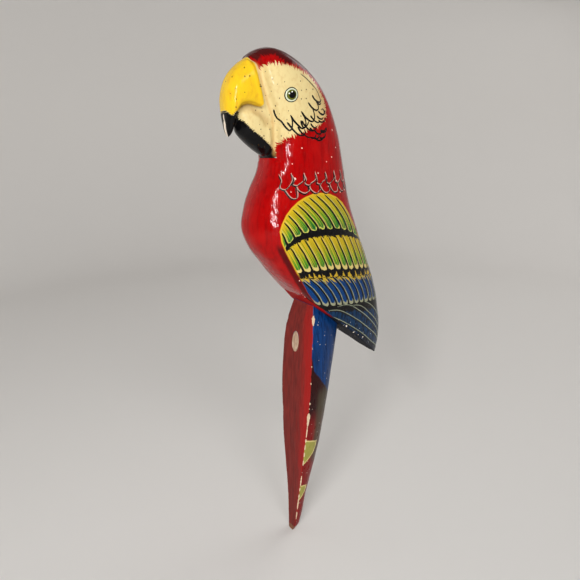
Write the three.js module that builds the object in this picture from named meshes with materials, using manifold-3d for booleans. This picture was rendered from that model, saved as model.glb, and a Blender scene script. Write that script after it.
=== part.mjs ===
// A hand rattle (maraca) carved as a perched macaw: two hollow halves of light wood, glued together
// round a seed chamber, with a long tail that is its handle.
// Millimetres. +Z is up, the bird faces -Y, its left wing is on +X, and the origin is the tip of the tail.

import * as THREE from 'three';
import { mergeVertices } from 'three/addons/utils/BufferGeometryUtils.js';
import Module from 'manifold-3d';

const wasm = await Module();
wasm.setup();

// ---- Driving dimensions ----
const GAP = 0.3; // clearance that every glued or loose joint keeps
const FAR = 150; // past the bird on every side
const ROD_SIDES = 20;
const TOP_RING = 0.996; // the last ring stops just short of the crown
const CROWN = [-11, 444.5]; // y and z of the highest point of the head

// The bird seen from its side, as [y, z] points from the underside up to the crown.
const FRONT = [
  [15, 245], [3, 257], [-9, 270], [-20, 284], [-30, 298], [-35, 314], [-31.5, 330],
  [-23.5, 344], [-17, 356], [-15, 368], [-18, 384], [-23, 402], [-27.5, 420], [-29, 432], [-23, 440.5],
  CROWN,
];
const BACK = [
  [106, 168.5], [110, 192], [106.5, 221], [98, 251], [86.5, 278], [75, 302], [65, 324],
  [58.5, 344], [55, 362], [51.5, 380], [45, 398], [35, 414], [21, 428], [6, 438.5], CROWN,
];
// Half the width of the bird, and how boxy its section is, from the underside (0) to the crown (1).
const HALF_WIDTH = [
  [0, 31], [0.12, 33.5], [0.25, 34.5], [0.35, 34.5], [0.45, 33], [0.56, 29.5], [0.68, 27.5],
  [0.78, 28], [0.86, 25], [0.93, 16.5], [0.975, 9.5], [1, 0.6],
];
const BOXINESS = [[0, 3.2], [0.15, 2.7], [0.35, 2.3], [1, 2.2]];
// How much narrower its back is than its front: the folded wings meet behind the tail.
const TAPER = [[0, 0.6], [0.2, 0.4], [0.42, 0.12], [0.6, 0], [1, 0]];
const BODY_ROWS = 44;
const BODY_COLUMNS = 44;
const BODY_BUNCHING = 0.35; // how much closer together the rings stand towards the crown

// The crease in front of each wing, as [z, y]: the belly ahead of it is cut back from the wing.
const CREASE = [[244, 13], [263, -3], [286, -17], [306, -29]];
const CREASE_DEPTH = 3.6;
const CREASE_REACH = 18; // how far forward the belly takes to come out again
const WING_BEVEL = 5; // how far behind the crease the wing is at full width
const CREASE_FADE = 16; // height over which the crease dies out at its top

// The beak: its front outline as [z, y], its half width as [z, x], and the y where it meets the face.
const BEAK_FRONT = [
  [367, -12], [372, -22], [377, -29.5], [381.5, -36], [383.5, -43.5], [392, -46.5], [404, -48.5],
  [414, -47.5], [423, -43.5], [430, -37], [437, -27],
];
const BEAK_WIDTH = [[367, 9], [380, 13], [400, 15.5], [420, 14], [437, 8]];
const BEAK_ROOT_Y = -12;
const BEAK_BOXINESS = 2.3;
const BEAK_ROWS = 20;
const BEAK_COLUMNS = 28;
const MOUTH = { y: -40.3, z: 383.6, radius: 3, length: 40 }; // the notch behind the hook of the beak

// The seed chamber, as [z, half width, half depth], centred on y = CHAMBER_Y.
const CHAMBER = [
  [262, 17, 16.5], [264, 19, 18.5], [276, 21.5, 27], [300, 23, 33], [322, 20, 27], [338, 14, 18], [346, 6, 8],
];
const CHAMBER_Y = 22;
const CHAMBER_BOXINESS = 2.4;
const CHAMBER_COLUMNS = 28;

// Dowels across the glue line, as [name, y, z].
const DOWELS = [['head', 12, 408], ['breast', -22, 314], ['back', 64, 302], ['rump', 76, 226]];
const DOWEL_RADIUS = 3;
const DOWEL_LENGTH = 26;

// The tail, as [z, y of its flat front, half width, depth], with a tenon that goes up into the body.
const TAIL = [
  [0, -2.5, 3.2, 6], [6, -1, 5.4, 9], [40, 1.8, 9.5, 14], [72, 3.4, 14, 21.5], [102, 4.6, 18, 28],
  [130, 6.5, 20.8, 31.5], [160, 8.5, 23, 35], [186, 10.6, 22.6, 38.5], [213, 13.5, 21, 41], [248, 21, 13, 36],
];
const TAIL_BOXINESS = 2.2;
const TAIL_ROWS = 22;
const TAIL_BUNCHING = 1.15; // above 1, the rings stand closer together towards the tip
const TAIL_COLUMNS = 26;
const TENON = { y: [28, 46], halfWidth: 9, foot: 200, top: 254 };
const PEG = { x: -4, z: 203, radius: 5.5, rise: 52.4, ahead: 8, length: 56 }; // rise: degrees above level

// The loose seeds on the chamber's floor, in rows across it.
const SEED_RADIUS = 3;
const SEED_STRETCH = 1.15; // how much longer than wide a seed is
const SEED_PITCH = 7.6;
const SEEDS_PER_ROW = 3;
const SEED_ROWS = 4;
const SEED_SIDES = 10;

// ---- Looks ----
const PAINTED_WOOD = { color: 0xb3100f, roughness: 0.25, metalness: 0 };
const BARE_WOOD = { color: 0xc9b08c, roughness: 0.7, metalness: 0 };
const SEED = { color: 0x6b4423, roughness: 0.6, metalness: 0 };

// ---- Curves and lofts ----

// A smooth curve through [x, value] points that never overshoots between them.
function curveThrough(points) {
  const steps = points.slice(1).map((p, i) => (p[1] - points[i][1]) / (p[0] - points[i][0]));
  const slopes = points.map((p, i) => {
    if (i === 0 || i === points.length - 1) return steps[Math.min(i, steps.length - 1)];
    const [before, after] = [steps[i - 1], steps[i]];
    return before * after > 0 ? (2 * before * after) / (before + after) : 0;
  });
  return (x) => {
    let i = 0;
    while (i < points.length - 2 && x > points[i + 1][0]) i += 1;
    const span = points[i + 1][0] - points[i][0];
    const t = THREE.MathUtils.clamp((x - points[i][0]) / span, 0, 1);
    const [t2, t3] = [t * t, t * t * t];
    return points[i][1] * (2 * t3 - 3 * t2 + 1) + slopes[i] * span * (t3 - 2 * t2 + t)
      + points[i + 1][1] * (3 * t2 - 2 * t3) + slopes[i + 1] * span * (t3 - t2);
  };
}

// A point of a superellipse with unit half axes; power 2 is a circle and a higher one is boxier.
function superellipse(angle, power) {
  const bend = (v) => Math.sign(v) * Math.abs(v) ** (2 / power);
  return [bend(Math.sin(angle)), bend(-Math.cos(angle))];
}

// A closed body through rings of points, all with the same number of points, with flat ends.
function loft(rings) {
  const count = rings[0].length;
  const middles = [rings[0], rings.at(-1)].map((ring) => {
    const middle = new THREE.Vector3();
    ring.forEach((p) => middle.add(p));
    return middle.divideScalar(count);
  });
  const points = [...rings.flat(), ...middles];
  const [firstMiddle, lastMiddle] = [points.length - 2, points.length - 1];
  const faces = [];
  for (let i = 0; i < count; i += 1) {
    const j = (i + 1) % count;
    for (let r = 0; r < rings.length - 1; r += 1) {
      const [low, high] = [r * count, (r + 1) * count];
      faces.push(low + i, low + j, high + j, low + i, high + j, high + i);
    }
    const top = (rings.length - 1) * count;
    faces.push(firstMiddle, j, i, lastMiddle, top + i, top + j);
  }
  const geometry = new THREE.BufferGeometry().setFromPoints(points);
  geometry.setIndex(faces);
  return geometry;
}

// A level superellipse ring centred on the glue line.
function ellipseRing(z, halfWidth, halfDepth, middleY, power, columns) {
  const ring = [];
  for (let i = 0; i < columns; i += 1) {
    const [across, along] = superellipse((i / columns) * 2 * Math.PI, power);
    ring.push(new THREE.Vector3(across * halfWidth, middleY + along * halfDepth, z));
  }
  return ring;
}

// ---- Solids ----

function toSolid(geometry) {
  const bare = geometry.clone();
  bare.deleteAttribute('normal');
  bare.deleteAttribute('uv');
  const merged = mergeVertices(bare, 1e-4);
  const vertProperties = new Float32Array(merged.attributes.position.array);
  const triVerts = new Uint32Array(merged.index.array);
  return new wasm.Manifold(new wasm.Mesh({ numProp: 3, vertProperties, triVerts }));
}

function toMesh(name, solid, look) {
  const { vertProperties, triVerts } = solid.getMesh();
  const geometry = new THREE.BufferGeometry();
  geometry.setAttribute('position', new THREE.BufferAttribute(vertProperties, 3));
  geometry.setIndex(new THREE.BufferAttribute(triVerts, 1));
  geometry.computeVertexNormals();
  const mesh = new THREE.Mesh(geometry, new THREE.MeshStandardMaterial(look));
  mesh.name = name;
  return mesh;
}

function boxSolid(low, high) {
  const size = high.map((v, i) => v - low[i]);
  const middle = high.map((v, i) => (v + low[i]) / 2);
  return toSolid(new THREE.BoxGeometry(...size).translate(...middle));
}

// A block with this outline of [y, z] points, right across the bird.
function sideCut(outline) {
  const shape = new THREE.Shape(outline.map(([y, z]) => new THREE.Vector2(y, z)));
  const block = new THREE.ExtrudeGeometry(shape, { depth: 2 * FAR, bevelEnabled: false });
  const [x, y, z] = [[1, 0, 0], [0, 1, 0], [0, 0, 1]].map((axis) => new THREE.Vector3(...axis));
  return toSolid(block.applyMatrix4(new THREE.Matrix4().makeBasis(y, z, x)).translate(-FAR, 0, 0));
}

// A round rod across the bird, from side to side.
function rodAcross(y, z, radius, length) {
  const rod = new THREE.CylinderGeometry(radius, radius, length, ROD_SIDES);
  return toSolid(rod.rotateZ(Math.PI / 2).translate(0, y, z));
}

// ---- The carved bird ----

// How far the belly is cut back towards the middle at a point of the bird's side.
function creaseCut(y, z) {
  const line = curveThrough(CREASE);
  const ahead = line(z) - y;
  const top = CREASE.at(-1)[0];
  const fade = THREE.MathUtils.smoothstep(top - z, 0, CREASE_FADE);
  const belly = Math.exp(-((ahead / CREASE_REACH) ** 2));
  const wing = 1 - THREE.MathUtils.smoothstep(-ahead, 0, WING_BEVEL);
  return CREASE_DEPTH * fade * (ahead > 0 ? belly : wing);
}

function bodyGeometry() {
  const outline = (points) => new THREE.CatmullRomCurve3(points.map(([y, z]) => new THREE.Vector3(0, y, z)));
  const [front, back] = [outline(FRONT), outline(BACK)];
  const [halfWidth, boxiness, taper] = [HALF_WIDTH, BOXINESS, TAPER].map(curveThrough);
  const rings = [];
  for (let row = 0; row <= BODY_ROWS; row += 1) {
    const even = row / BODY_ROWS;
    const bunched = THREE.MathUtils.lerp(even, Math.sin(even * Math.PI / 2), BODY_BUNCHING);
    const s = Math.min(TOP_RING, bunched);
    const [low, high] = [front.getPoint(s), back.getPoint(s)];
    const middle = low.clone().lerp(high, 0.5);
    const reach = high.clone().sub(low).multiplyScalar(0.5);
    const ring = [];
    for (let i = 0; i < BODY_COLUMNS; i += 1) {
      const [across, along] = superellipse((i / BODY_COLUMNS) * 2 * Math.PI, boxiness(s));
      const point = middle.clone().addScaledVector(reach, along);
      const width = across * halfWidth(s) * (1 - taper(s) * (1 + along) / 2);
      ring.push(point.setX(width - Math.sign(across) * creaseCut(point.y, point.z) * across ** 2));
    }
    rings.push(ring);
  }
  return loft(rings);
}

function beakGeometry() {
  const [front, width] = [curveThrough(BEAK_FRONT), curveThrough(BEAK_WIDTH)];
  const [low, high] = [BEAK_FRONT[0][0], BEAK_FRONT.at(-1)[0]];
  const rings = [];
  for (let row = 0; row <= BEAK_ROWS; row += 1) {
    const z = low + (high - low) * (row / BEAK_ROWS);
    const reach = BEAK_ROOT_Y - front(z);
    rings.push(ellipseRing(z, width(z), reach, BEAK_ROOT_Y, BEAK_BOXINESS, BEAK_COLUMNS));
  }
  return loft(rings);
}

function chamberGeometry() {
  return loft(CHAMBER.map(([z, halfWidth, halfDepth]) => (
    ellipseRing(z, halfWidth, halfDepth, CHAMBER_Y, CHAMBER_BOXINESS, CHAMBER_COLUMNS)
  )));
}

function carvedBird() {
  const notch = rodAcross(MOUTH.y, MOUTH.z, MOUTH.radius, MOUTH.length);
  return toSolid(bodyGeometry()).add(toSolid(beakGeometry())).subtract(notch);
}

// ---- The tail and its joinery ----

const tailFront = curveThrough(TAIL.map(([z, y]) => [z, y]));

// Half of a superellipse behind a flat front face, which is the underside of the bird's tail.
function tailGeometry() {
  const halfWidth = curveThrough(TAIL.map(([z, , x]) => [z, x]));
  const depth = curveThrough(TAIL.map(([z, , , y]) => [z, y]));
  const top = TAIL.at(-1)[0];
  const rings = [];
  for (let row = 0; row <= TAIL_ROWS; row += 1) {
    const z = top * (row / TAIL_ROWS) ** TAIL_BUNCHING;
    const ring = [];
    for (let i = 0; i <= TAIL_COLUMNS; i += 1) {
      const angle = Math.PI / 2 + (i / TAIL_COLUMNS) * Math.PI;
      const [across, along] = superellipse(angle, TAIL_BOXINESS);
      ring.push(new THREE.Vector3(across * halfWidth(z), tailFront(z) + along * depth(z), z));
    }
    rings.push(ring);
  }
  return loft(rings);
}

// Everything above the body's slanted underside and the gap below it.
function aboveUnderside() {
  const [low, high] = [FRONT[0], BACK[0]];
  const slope = (high[1] - low[1]) / (high[0] - low[0]);
  const edge = (y) => low[1] + slope * (y - low[0]) - GAP * Math.hypot(1, slope);
  return sideCut([[-FAR, edge(-FAR)], [FAR, edge(FAR)], [FAR, 4 * FAR], [-FAR, 4 * FAR]]);
}

// Everything behind the tail's flat front.
function behindTailFront() {
  return sideCut([...TAIL.map(([z, y]) => [y, z]), [FAR, TAIL.at(-1)[0]], [FAR, 0]]);
}

function tenonSolid(clearance) {
  const { y, halfWidth, foot, top } = TENON;
  const low = [-halfWidth - clearance, y[0] - clearance, foot];
  const high = [halfWidth + clearance, y[1] + clearance, top + clearance];
  return boxSolid(low, high);
}

// The peg runs up and back from the tail's front face into the body.
function pegSolid(clearance) {
  const rise = THREE.MathUtils.degToRad(PEG.rise);
  const direction = new THREE.Vector3(0, Math.cos(rise), Math.sin(rise));
  const turn = new THREE.Quaternion().setFromUnitVectors(new THREE.Vector3(0, 1, 0), direction);
  const length = PEG.ahead + PEG.length + clearance;
  const middle = new THREE.Vector3(PEG.x, tailFront(PEG.z), PEG.z);
  middle.addScaledVector(direction, length / 2 - PEG.ahead);
  const rod = new THREE.CylinderGeometry(PEG.radius + clearance, PEG.radius + clearance, length, ROD_SIDES);
  return toSolid(rod.applyQuaternion(turn).translate(...middle));
}

function cutTail() {
  const blade = toSolid(tailGeometry()).subtract(aboveUnderside());
  return blade.add(tenonSolid(0)).subtract(pegSolid(GAP));
}

// ---- Assembly ----

function shellSolid(side) {
  const inner = (side * GAP) / 2;
  const ends = [inner, side * FAR].sort((a, b) => a - b);
  const sockets = [tenonSolid(GAP), pegSolid(GAP), ...DOWELS.map(([, y, z]) => (
    rodAcross(y, z, DOWEL_RADIUS + GAP, DOWEL_LENGTH + 2 * GAP)
  ))];
  return sockets.reduce((shell, socket) => shell.subtract(socket), carvedBird())
    .subtract(toSolid(chamberGeometry()))
    .intersect(boxSolid([ends[0], -FAR, 0], [ends[1], FAR, 4 * FAR]));
}

// A seed lies on the chamber's floor with its long way across the bird.
function seedGeometry() {
  return new THREE.SphereGeometry(SEED_RADIUS, SEED_SIDES, SEED_SIDES / 2)
    .rotateZ(Math.PI / 2).scale(SEED_STRETCH, 1, 1);
}

function seedPlaces() {
  const places = [];
  const z = CHAMBER[0][0] + SEED_RADIUS + GAP;
  for (let row = 0; row < SEED_ROWS; row += 1) {
    for (let seat = 0; seat < SEEDS_PER_ROW; seat += 1) {
      const x = (seat - (SEEDS_PER_ROW - 1) / 2) * SEED_PITCH * SEED_STRETCH;
      const y = CHAMBER_Y + (row - (SEED_ROWS - 1) / 2) * SEED_PITCH;
      places.push([x, y, z]);
    }
  }
  return places;
}

const bird = new THREE.Group();
bird.name = 'macaw_maraca';
bird.add(toMesh('shell_left', shellSolid(1), PAINTED_WOOD));
bird.add(toMesh('shell_right', shellSolid(-1), PAINTED_WOOD));
bird.add(toMesh('tail_handle', cutTail(), PAINTED_WOOD));
bird.add(toMesh('tail_peg', pegSolid(0).intersect(behindTailFront()), BARE_WOOD));
DOWELS.forEach(([name, y, z]) => {
  bird.add(toMesh(`dowel_${name}`, rodAcross(y, z, DOWEL_RADIUS, DOWEL_LENGTH), BARE_WOOD));
});
seedPlaces().forEach((place, i) => {
  const seed = toMesh(`seed_${i + 1}`, toSolid(seedGeometry()), SEED);
  seed.position.set(...place);
  bird.add(seed);
});
export default bird;
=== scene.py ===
"""Looks of the carved macaw maraca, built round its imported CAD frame.

Lengths are millimetres until a mesh is made. +Z is up, the bird faces -Y, its left wing is on +X, and
the origin is the tip of the tail. Both sides are painted alike, so patterns are worked out from |x|.
"""

import math

import bmesh
import bpy
import numpy as np
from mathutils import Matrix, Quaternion, Vector
from mathutils.bvhtree import BVHTree


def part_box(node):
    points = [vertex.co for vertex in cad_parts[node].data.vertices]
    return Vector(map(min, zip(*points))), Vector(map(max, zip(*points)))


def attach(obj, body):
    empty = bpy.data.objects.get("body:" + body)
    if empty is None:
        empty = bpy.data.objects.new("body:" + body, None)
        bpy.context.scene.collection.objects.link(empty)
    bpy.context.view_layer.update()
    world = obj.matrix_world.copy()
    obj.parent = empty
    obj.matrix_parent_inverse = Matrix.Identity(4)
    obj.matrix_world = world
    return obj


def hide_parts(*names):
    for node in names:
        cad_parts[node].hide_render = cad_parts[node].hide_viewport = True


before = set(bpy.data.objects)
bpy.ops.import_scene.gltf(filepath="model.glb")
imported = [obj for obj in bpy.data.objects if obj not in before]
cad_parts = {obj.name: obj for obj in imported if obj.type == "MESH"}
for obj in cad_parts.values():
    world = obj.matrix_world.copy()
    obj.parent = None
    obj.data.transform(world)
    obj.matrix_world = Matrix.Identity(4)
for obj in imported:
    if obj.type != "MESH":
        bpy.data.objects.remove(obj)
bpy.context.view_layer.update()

MM = 0.001
TURN = 2 * math.pi
RNG = np.random.default_rng(7)

# ---- The carved bird, as the CAD has it ----
CROWN = (-11, 444.5)
FRONT = [  # (y, z) of its front, from the underside up to the crown
    (15, 245), (3, 257), (-9, 270), (-20, 284), (-30, 298), (-35, 314), (-31.5, 330),
    (-25, 344), (-18.5, 356), (-15.5, 368), (-18, 384), (-23, 402), (-27.5, 420), (-29, 432),
    (-23, 440.5), CROWN,
]
BACK = [
    (106, 168.5), (110, 192), (106.5, 221), (98, 251), (86.5, 278), (75, 302), (65, 324),
    (58.5, 344), (55, 362), (51.5, 380), (45, 398), (35, 414), (21, 428), (6, 438.5), CROWN,
]
HALF_WIDTH = [
    (0, 31), (0.12, 33.5), (0.25, 34.5), (0.35, 34.5), (0.45, 33), (0.56, 29.5), (0.68, 27.5),
    (0.78, 28), (0.86, 25), (0.93, 16.5), (0.975, 9.5), (1, 0.6),
]
BOXINESS = [(0, 3.2), (0.15, 2.7), (0.35, 2.3), (1, 2.2)]
TAPER = [(0, 0.6), (0.2, 0.4), (0.42, 0.12), (0.6, 0), (1, 0)]
CREASE = [(244, 13), (263, -3), (286, -17), (306, -29)]  # (z, y) of the crease ahead of the wing
CREASE_DEPTH = 3.6
CREASE_REACH = 18
WING_BEVEL = 3
CREASE_FADE = 16
TOP_RING = 0.998

# The beak's two halves: (top y, top z), (bottom y, bottom z) and half width of each ring.
UPPER_BEAK = [
    ((-14, 440), (-12, 388), 15), ((-20, 440), (-17, 390), 15.3), ((-28, 436.5), (-23, 394), 15.5),
    ((-35.5, 431.5), (-28, 397), 15.2), ((-41.5, 425.5), (-32.5, 398.5), 14.2),
    ((-45.5, 418), (-36.5, 398), 12.8), ((-47.8, 409.5), (-39, 396), 11.2),
    ((-48.2, 401), (-40.3, 392.5), 9.2), ((-47.8, 393), (-41.6, 388.5), 7),
    ((-47.2, 387), (-43, 384.5), 4.8), ((-46.4, 382), (-44.8, 382), 1.2),
]
LOWER_BEAK = [
    ((-8, 412), (-6, 365), 13.5), ((-18, 412), (-15.5, 367.5), 14), ((-26, 411), (-23.8, 372.3), 13.3),
    ((-33, 408), (-30.3, 377.2), 11.6), ((-38, 400), (-35, 381.6), 8.6), ((-39.6, 391), (-39, 386), 2),
]
BEAK_ROUNDNESS = 2.3

# The seed chamber, as (z, half width, half depth), centred on y = CHAMBER_Y.
CHAMBER = [
    (262, 17, 16.5), (264, 19, 18.5), (276, 21.5, 27), (300, 23, 33), (322, 20, 27), (338, 14, 18),
    (346, 6, 8),
]
CHAMBER_Y = 22
CHAMBER_BOXINESS = 2.4

# ---- The tail, as the CAD has it: (z, y of its flat front, half width, depth) ----
TAIL = [
    (0, -2.5, 3.2, 6), (6, -1, 5.4, 9), (40, 1.8, 9.5, 14), (72, 3.4, 14, 21.5), (102, 4.6, 18, 28),
    (130, 6.5, 20.8, 31.5), (160, 8.5, 23, 35), (186, 10.6, 22.6, 38.5), (213, 13.5, 21, 41),
    (248, 21, 13, 36),
]
TAIL_BOXINESS = 2.2
TENON = ((-9, 28, 195), (9, 46, 254))  # its low and high corner
MORTISE = ((-9.2, 27.8, 190), (9.2, 46.2, 254.2))
PEG_HEIGHT = 203.0  # where the peg's axis meets the tail's flat front
PEG_RISE = math.radians(52.4)
PEG_HOLE = (-8, 56)  # how far its hole runs along the axis, from ahead of the front to inside the body

# ---- Room between the pieces ----
JOINT_GAP = 0.02  # half of the hairline between glued pieces
DOWEL_GAP = 0.2
DOWEL_END_GAP = 0.3
PEG_SLIMMER = 0.5  # how much thinner than in the CAD the peg and its hole are
PEG_TRIM = 0.2  # how much thinner again the peg is
PEG_GAPS = (0.12, 0.15)  # how much wider its hole is, in the tail and in the bird

# ---- How fine the new meshes are ----
VOXEL = 0.85
PEG_VOXEL = 0.6
BODY_GRID = (230, 220)  # rings, and points in each ring
UPPER_GRID = (70, 80)
LOWER_GRID = (40, 80)
TAIL_GRID = (340, 150, 50)  # rings, and points round the back and across the front of each


# ---- Curves ----
def curve(points, x):
    """A smooth curve through (x, value) points that never overshoots between them."""
    xs, ys = np.array(points, float).T
    steps = np.diff(ys) / np.diff(xs)
    before, after = steps[:-1], steps[1:]
    total = np.where(before + after == 0, 1, before + after)
    inner = np.where(before * after > 0, 2 * before * after / total, 0)
    slopes = np.concatenate([steps[:1], inner, steps[-1:]])
    i = np.clip(np.searchsorted(xs, x) - 1, 0, len(xs) - 2)
    span = xs[i + 1] - xs[i]
    t = np.clip((x - xs[i]) / span, 0, 1)
    low = ys[i] * (2 * t**3 - 3 * t**2 + 1) + slopes[i] * span * (t**3 - 2 * t**2 + t)
    return low + ys[i + 1] * (3 * t**2 - 2 * t**3) + slopes[i + 1] * span * (t**3 - t**2)


def through(points, share):
    """Points along the centripetal Catmull-Rom curve through these points, at shares of 0 to 1."""
    p = np.array(points, float)
    last = len(p) - 1
    share = np.asarray(share, float)
    place = np.clip(share, 0, 1) * last
    i = np.minimum(place.astype(int), last - 1)
    t = (place - i)[..., None]
    p = np.vstack([2 * p[0] - p[1], p, 2 * p[-1] - p[-2]])
    a, b, c, d = (p[i + k] for k in range(4))
    gaps = (np.linalg.norm(v, axis=-1, keepdims=True) for v in (b - a, c - b, d - c))
    da, db, dc = (np.sqrt(gap) + 1e-9 for gap in gaps)
    start = ((b - a) / da - (c - a) / (da + db) + (c - b) / db) * db
    end = ((c - b) / db - (d - b) / (db + dc) + (d - c) / dc) * db
    return b + start * t + (3 * (c - b) - 2 * start - end) * t**2 + (2 * (b - c) + start + end) * t**3


def smoothstep(x, low, high):
    t = np.clip((x - low) / (high - low), 0, 1)
    return t * t * (3 - 2 * t)


def around(count):
    """Evenly spaced angles round a circle."""
    return np.arange(count) / count * TURN


def superellipse(angle, power):
    def bend(v):
        return np.sign(v) * np.abs(v) ** (2 / power)

    return bend(np.sin(angle)), bend(-np.cos(angle))


# ---- Meshes ----
def in_scene(name, data):
    """An object made of this mesh, light or camera."""
    piece = bpy.data.objects.new(name, data)
    bpy.context.scene.collection.objects.link(piece)
    return piece


def new_piece(name, points, faces, materials=()):
    """An object with these points, in millimetres."""
    mesh = bpy.data.meshes.new(name)
    mesh.from_pydata((np.asarray(points) * MM).tolist(), [], faces)
    mesh.update()
    for material in materials:
        mesh.materials.append(material)
    return in_scene(name, mesh)


def loft(rings):
    """Points and faces of a closed body through rings, an array of (ring, point, xyz)."""
    count, sides = rings.shape[:2]
    low = np.arange(count - 1)[:, None] * sides + np.arange(sides)
    beside = np.roll(low, -1, axis=1)
    walls = np.stack([low, beside, beside + sides, low + sides], -1).reshape(-1, 4).tolist()
    ends = [list(range(sides))[::-1], list(range((count - 1) * sides, count * sides))]
    return rings.reshape(-1, 3), walls + ends


def joined(bodies):
    """Several (points, faces) bodies as one."""
    points, faces, start = [], [], 0
    for body_points, body_faces in bodies:
        points.append(body_points)
        faces += [[i + start for i in face] for face in body_faces]
        start += len(body_points)
    return np.vstack(points), faces


def read(items, name, width=1, kind=np.float32):
    """One property of all the vertices, edges or faces of a mesh, a row for each."""
    flat = np.empty(len(items) * width, kind)
    items.foreach_get(name, flat)
    return flat.reshape(-1, width)


def points_of(piece):
    return read(piece.data.vertices, "co", 3).astype(float) / MM


def normals_of(piece):
    return read(piece.data.vertex_normals, "vector", 3).astype(float)


def move_points(piece, points):
    piece.data.vertices.foreach_set("co", (points * MM).astype(np.float32).ravel())
    piece.data.update()


def press_in(piece, depths):
    """Moves the surface inwards by these millimetres, one per vertex."""
    move_points(piece, points_of(piece) - normals_of(piece) * depths[:, None])


def bake_modifiers(piece):
    """Swaps the piece's mesh for the one its modifiers make."""
    graph = bpy.context.evaluated_depsgraph_get()
    mesh = bpy.data.meshes.new_from_object(piece.evaluated_get(graph))
    piece.modifiers.clear()
    piece.data = mesh


def remesh(piece, voxel):
    step = piece.modifiers.new("even", "REMESH")
    step.mode = "VOXEL"
    step.voxel_size = voxel * MM
    step.use_smooth_shade = True
    bake_modifiers(piece)


def combine(piece, other, operation):
    """Joins other to the piece, or cuts it out of the piece, and removes other."""
    step = piece.modifiers.new("combine", "BOOLEAN")
    step.operation = operation
    step.solver = "EXACT"
    step.material_mode = "TRANSFER"
    step.object = other
    bake_modifiers(piece)
    bpy.data.objects.remove(other)


def cut_flat(piece, place, outward, slot=0):
    """Cuts off what lies beyond a plane, and closes the cut with faces of this material slot."""
    mesh = bmesh.new()
    mesh.from_mesh(piece.data)
    everything = mesh.verts[:] + mesh.edges[:] + mesh.faces[:]
    bmesh.ops.bisect_plane(mesh, geom=everything, plane_co=place, plane_no=outward, clear_outer=True)
    rim = [edge for edge in mesh.edges if edge.is_boundary]
    bmesh.ops.edgeloop_fill(mesh, edges=rim, mat_nr=slot)
    bmesh.ops.recalc_face_normals(mesh, faces=mesh.faces[:])
    mesh.to_mesh(piece.data)
    mesh.free()


def soften(piece, where, rounds):
    """Evens out the surface where the weights, one per vertex, say so."""
    points = points_of(piece)
    a, b = read(piece.data.edges, "vertices", 2, np.int32).T
    ends, others = np.concatenate([a, b]), np.concatenate([b, a])
    count = np.bincount(ends, minlength=len(points))[:, None]
    for _ in range(rounds):
        total = [np.bincount(ends, points[others, k], len(points)) for k in range(3)]
        mean = np.stack(total, 1) / np.maximum(count, 1)
        points += (mean - points) * 0.5 * where[:, None]
    move_points(piece, points)


def set_field(piece, name, values):
    """Stores one number per vertex for the materials to read."""
    field = piece.data.attributes.new(name, "FLOAT", "POINT")
    field.data.foreach_set("value", np.asarray(values, np.float32))


def shade_smooth(piece):
    piece.data.polygons.foreach_set("use_smooth", np.ones(len(piece.data.polygons), bool))


# ---- Solids ----
def crease_cut(y, z):
    """How far the belly is cut back towards the middle at a point of the bird's side."""
    ahead = curve(CREASE, z) - y
    fade = smoothstep(CREASE[-1][0] - z, 0, CREASE_FADE)
    belly = np.exp(-((ahead / CREASE_REACH) ** 2))
    wing = 1 - smoothstep(-ahead, 0, WING_BEVEL)
    return CREASE_DEPTH * fade * np.where(ahead > 0, belly, wing)


def body_points(share, angle):
    """Points of the bird's body: share runs from the underside to the crown, angle round the ring."""
    low, high = through(FRONT, share), through(BACK, share)
    across, along = superellipse(angle, curve(BOXINESS, share))
    yz = (low + high) / 2 + (high - low) / 2 * along[..., None]
    width = across * curve(HALF_WIDTH, share) * (1 - curve(TAPER, share) * (1 + along) / 2)
    width = width - np.sign(across) * crease_cut(yz[..., 0], yz[..., 1]) * across**2
    return np.concatenate([width[..., None], yz], -1)


def body_rings(rows, columns):
    even = np.linspace(0, 1, rows)
    share = np.minimum(TOP_RING, 0.5 * even + 0.5 * np.sin(even * math.pi / 2))
    return body_points(*np.meshgrid(share, around(columns), indexing="ij"))


def beak_rings(outline, rows, columns):
    table = np.array([(*top, *bottom, width) for top, bottom, width in outline], float)
    dense = through(table, np.linspace(0, 1, rows))
    across, along = superellipse(around(columns), BEAK_ROUNDNESS)
    middle = (dense[:, 0:2] + dense[:, 2:4]) / 2
    reach = (dense[:, 0:2] - dense[:, 2:4]) / 2
    yz = middle[:, None] + reach[:, None] * along[None, :, None]
    x = dense[:, 4:5] * across[None]
    return np.concatenate([x[..., None], yz], -1)


def chamber_body():
    z, width, depth = np.array(CHAMBER, float).T
    levels = np.linspace(z[0], z[-1], 60)
    across, along = superellipse(around(72), CHAMBER_BOXINESS)
    x = curve(list(zip(z, width)), levels)[:, None] * across
    y = CHAMBER_Y + curve(list(zip(z, depth)), levels)[:, None] * along
    return loft(np.stack([x, y, np.broadcast_to(levels[:, None], x.shape)], -1))


def rod_body(start, end, radius, sides=48):
    """A round rod between two points."""
    start, end = np.array(start, float), np.array(end, float)
    axis = (end - start) / np.linalg.norm(end - start)
    side = np.cross(axis, (0, 0, 1) if abs(axis[2]) < 0.9 else (1, 0, 0))
    side /= np.linalg.norm(side)
    other = np.cross(axis, side)
    angle = around(sides)
    circle = np.cos(angle)[:, None] * side + np.sin(angle)[:, None] * other
    return loft(np.array([place + circle * radius for place in (start, end)]))


def box_body(low, high):
    corners = [(low[0], low[1]), (high[0], low[1]), (high[0], high[1]), (low[0], high[1])]
    return loft(np.array([[(x, y, z) for x, y in corners] for z in (low[2], high[2])], float))


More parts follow.
